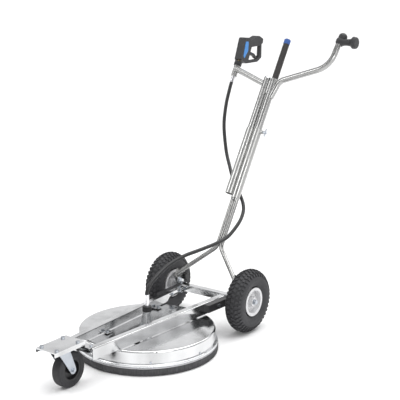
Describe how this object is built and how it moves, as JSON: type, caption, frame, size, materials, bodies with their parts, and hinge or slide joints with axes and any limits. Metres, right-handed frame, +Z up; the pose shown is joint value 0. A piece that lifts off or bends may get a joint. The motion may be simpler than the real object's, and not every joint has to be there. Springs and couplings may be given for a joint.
{
  "type": "rotary surface cleaner",
  "caption": "Wheeled rotary surface cleaner: round stainless deck with brush skirt and spinning spray bar, tilting telescopic handle, trigger gun, lance and hose.",
  "frame": {"origin": "on the ground, under the middle of the machine's overall length and width", "axes": "+Z up; -Y forwards, where the castor is; +X on the side of the plain grip, with the trigger gun on -X"},
  "size_m": [0.627, 1.6229, 1.1669],
  "materials": {
    "polished_steel": "mirror-polished stainless sheet and tube",
    "satin_steel": "plain turned stainless",
    "chrome": "bright chrome crimped ferrule",
    "zinc": "bright zinc plating, faintly blue",
    "black_bar": "black powder coat",
    "bearing_steel": "ground bearing steel",
    "brass": "machined brass",
    "nozzle_steel": "hardened stainless",
    "bristle": "dense dark nylon bristle",
    "aluminium": "extruded strip",
    "black_plastic": "moulded black",
    "gun_plastic": "textured dark grey",
    "trigger_plastic": "moulded black",
    "blue_plastic": "mid blue",
    "grip_rubber": "ribbed black rubber",
    "hose_rubber": "smooth black cover",
    "tyre": "dark grey pneumatic tyre",
    "castor_rubber": "solid black tyre",
    "rim_paint": "white-silver rim"
  },
  "bodies": {
    "chassis": {"deck_shell": "polished_steel", "rim_band": "satin_steel", "rim_screws": "zinc", "brush_holder": "aluminium", "brush_ring": "bristle", "beam_left": "polished_steel", "beam_right": "polished_steel", "deck_spacers": "castor_rubber", "front_channel": "polished_steel", "front_bracket": "polished_steel", "castor_top_plate": "zinc", "axle_channel": "polished_steel", "axle_arm_left": "black_bar", "axle_arm_right": "black_bar", "axle_stubs": "satin_steel", "axle_nuts": "zinc", "handle_ears": "satin_steel", "pivot_bolts": "zinc", "frame_bolts": "zinc", "swivel_housing": "satin_steel", "swivel_bearings": "bearing_steel", "shaft_seal": "grip_rubber", "swivel_inlet": "satin_steel", "swivel_nut": "black_plastic", "hose_ferrule_lower": "chrome", "wheel_bearings": "bearing_steel", "hose": "hose_rubber"},
    "rotor": {"rotor_shaft": "satin_steel", "rotor_hub": "satin_steel", "spray_arms": "satin_steel", "nozzle_holders": "brass", "nozzle_tips": "nozzle_steel"},
    "castor": {"castor_fork": "zinc", "castor_axle": "zinc"},
    "castor_wheel": {"castor_tyre": "castor_rubber", "castor_hub": "black_plastic"},
    "wheel_left": {"tyre_left": "tyre", "rim_left": "rim_paint"},
    "wheel_right": {"tyre_right": "tyre", "rim_right": "rim_paint"},
    "handle": {"handle_fork": "polished_steel", "handle_sleeves": "polished_steel"},
    "knob_left": {"star_knob_left": "black_plastic"},
    "knob_right": {"star_knob_right": "black_plastic"},
    "clamp": {"clamp_screw": "zinc"},
    "upper_handle": {"handlebar": "polished_steel", "gun_pipe": "satin_steel", "hose_ferrule_upper": "chrome", "gun_nut": "black_plastic", "side_grip": "gun_plastic", "tube_cap": "satin_steel", "gun_shell_left": "gun_plastic", "gun_shell_right": "gun_plastic", "gun_inserts": "blue_plastic", "gun_valve": "brass"},
    "trigger": {"trigger": "trigger_plastic"},
    "trigger_lock": {"trigger_lock": "blue_plastic"},
    "lance": {"lance_grip": "grip_rubber", "lance_cap": "blue_plastic", "lance_tube": "satin_steel"}
  },
  "joints": [
    {"name": "rotor_spin", "type": "hinge", "parent": "chassis", "child": "rotor", "pos_m": [-0.0385, -0.2639, 0.066], "axis": [0, 0, 1], "continuous": true},
    {"name": "castor_swivel", "type": "hinge", "parent": "chassis", "child": "castor", "pos_m": [-0.0385, -0.7419, 0.15], "axis": [0, 0, 1], "continuous": true},
    {"name": "castor_roll", "type": "hinge", "parent": "castor", "child": "castor_wheel", "pos_m": [-0.0385, -0.7039, 0.066], "axis": [1, 0, 0], "continuous": true},
    {"name": "wheel_left_roll", "type": "hinge", "parent": "chassis", "child": "wheel_left", "pos_m": [-0.2425, 0.1271, 0.13], "axis": [1, 0, 0], "continuous": true},
    {"name": "wheel_right_roll", "type": "hinge", "parent": "chassis", "child": "wheel_right", "pos_m": [0.1655, 0.1271, 0.13], "axis": [1, 0, 0], "continuous": true},
    {"name": "handle_tilt", "type": "hinge", "parent": "chassis", "child": "handle", "pos_m": [-0.0385, 0.1141, 0.158], "axis": [1, 0, 0], "range_deg": [-18, 18], "deforming": ["hose"]},
    {"name": "handle_telescope", "type": "slide", "parent": "handle", "child": "upper_handle", "axis": [0, 0.5284, 0.849], "range_m": [-0.1, 0.08], "deforming": ["hose"]},
    {"name": "knob_left_turn", "type": "hinge", "parent": "handle", "child": "knob_left", "pos_m": [-0.1585, 0.14229, 0.16826], "axis": [1, 0, 0], "range_deg": [-180, 180]},
    {"name": "knob_right_turn", "type": "hinge", "parent": "handle", "child": "knob_right", "pos_m": [0.0815, 0.14229, 0.16826], "axis": [1, 0, 0], "range_deg": [-180, 180]},
    {"name": "clamp_turn", "type": "hinge", "parent": "handle", "child": "clamp", "pos_m": [0.0115, 0.46259, 0.75383], "axis": [1, 0, 0], "range_deg": [-180, 180]},
    {"name": "lance_pull", "type": "slide", "parent": "upper_handle", "child": "lance", "axis": [0, 0.5284, 0.849], "range_m": [0, 0.25]},
    {"name": "trigger_pull", "type": "hinge", "parent": "upper_handle", "child": "trigger", "pos_m": [-0.2385, 0.69845, 1.06463], "axis": [1, 0, 0], "range_deg": [0, 12], "stiffness_Nm_per_rad": 1, "springref_deg": -17.19},
    {"name": "trigger_lock_flip", "type": "hinge", "parent": "trigger", "child": "trigger_lock", "pos_m": [-0.2385, 0.73213, 1.0525], "axis": [1, 0, 0], "range_deg": [0, 45]}
  ]
}
